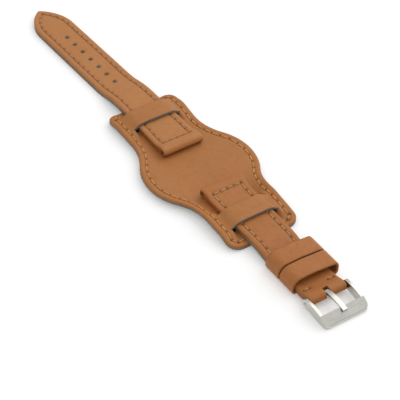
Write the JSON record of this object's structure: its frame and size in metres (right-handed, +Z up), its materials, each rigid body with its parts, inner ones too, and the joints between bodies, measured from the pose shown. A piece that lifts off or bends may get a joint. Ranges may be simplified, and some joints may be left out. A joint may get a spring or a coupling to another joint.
{
  "type": "bund watch strap",
  "caption": "Two-piece leather watch strap threaded through the bridges of a leather wrist pad, with a pin buckle, a fixed keeper and a sliding keeper.",
  "frame": {"origin": "middle of the pad's underside, on the surface that the strap lies on", "axes": "+X along the strap from the holed tail to the buckle, +Y across it, +Z up from the pad's lining to its top leather"},
  "size_m": [0.2371, 0.0514, 0.0077],
  "materials": {
    "tan_leather": "smooth waxed top-grain leather, satin, with faint creases",
    "dark_lining": "matt slate-grey lining leather",
    "painted_edge": "filler board with edges painted in the leather's tan",
    "gold_thread": "waxed twisted thread, golden tan",
    "beige_thread": "waxed twisted thread, beige",
    "buckle_steel": "stainless steel, satin brushed, with polished bevels",
    "spring_steel": "plain turned stainless steel"
  },
  "bodies": {
    "pad": {"pad_top": "tan_leather", "pad_lining": "dark_lining", "pad_thread": "gold_thread"},
    "tail": {"tail_top": "tan_leather", "tail_filler": "painted_edge", "tail_lining": "dark_lining", "tail_thread": "beige_thread"},
    "buckle_strap": {"buckle_top": "tan_leather", "buckle_filler": "painted_edge", "buckle_lining": "dark_lining", "buckle_thread": "beige_thread", "tack_thread": "beige_thread", "fixed_keeper": "tan_leather", "bar_tube": "spring_steel", "bar_spring": "spring_steel"},
    "sliding_keeper": {"sliding_keeper": "tan_leather"},
    "bar_pivot_left": {"bar_pivot_left": "spring_steel"},
    "bar_pivot_right": {"bar_pivot_right": "spring_steel"},
    "buckle_frame": {"buckle_frame": "buckle_steel"},
    "buckle_tongue": {"buckle_tongue": "buckle_steel"}
  },
  "joints": [
    {"name": "tail_slide", "type": "slide", "parent": "pad", "child": "tail", "axis": [-1, 0, 0], "range_m": [-0.003, 0.008]},
    {"name": "buckle_strap_slide", "type": "slide", "parent": "pad", "child": "buckle_strap", "axis": [1, 0, 0], "range_m": [-0.003, 0.0055]},
    {"name": "keeper_slide", "type": "slide", "parent": "buckle_strap", "child": "sliding_keeper", "axis": [-1, 0, 0], "range_m": [-0.0004, 0.0095]},
    {"name": "frame_swing", "type": "hinge", "parent": "buckle_strap", "child": "buckle_frame", "pos_m": [0.0896, 0, 0.00301], "axis": [0, 1, 0], "range_deg": [-40, 80]},
    {"name": "tongue_swing", "type": "hinge", "parent": "buckle_frame", "child": "buckle_tongue", "pos_m": [0.0896, 0, 0.00301], "axis": [0, 1, 0], "range_deg": [-50, 0]},
    {"name": "left_pivot_press", "type": "slide", "parent": "buckle_strap", "child": "bar_pivot_left", "axis": [0, 1, 0], "range_m": [0, 0.0012], "stiffness_N_per_m": 300, "springref_m": -0.004, "deforming": ["bar_spring"]},
    {"name": "right_pivot_press", "type": "slide", "parent": "buckle_strap", "child": "bar_pivot_right", "axis": [0, -1, 0], "range_m": [0, 0.0012], "stiffness_N_per_m": 300, "springref_m": -0.004, "deforming": ["bar_spring"]}
  ]
}
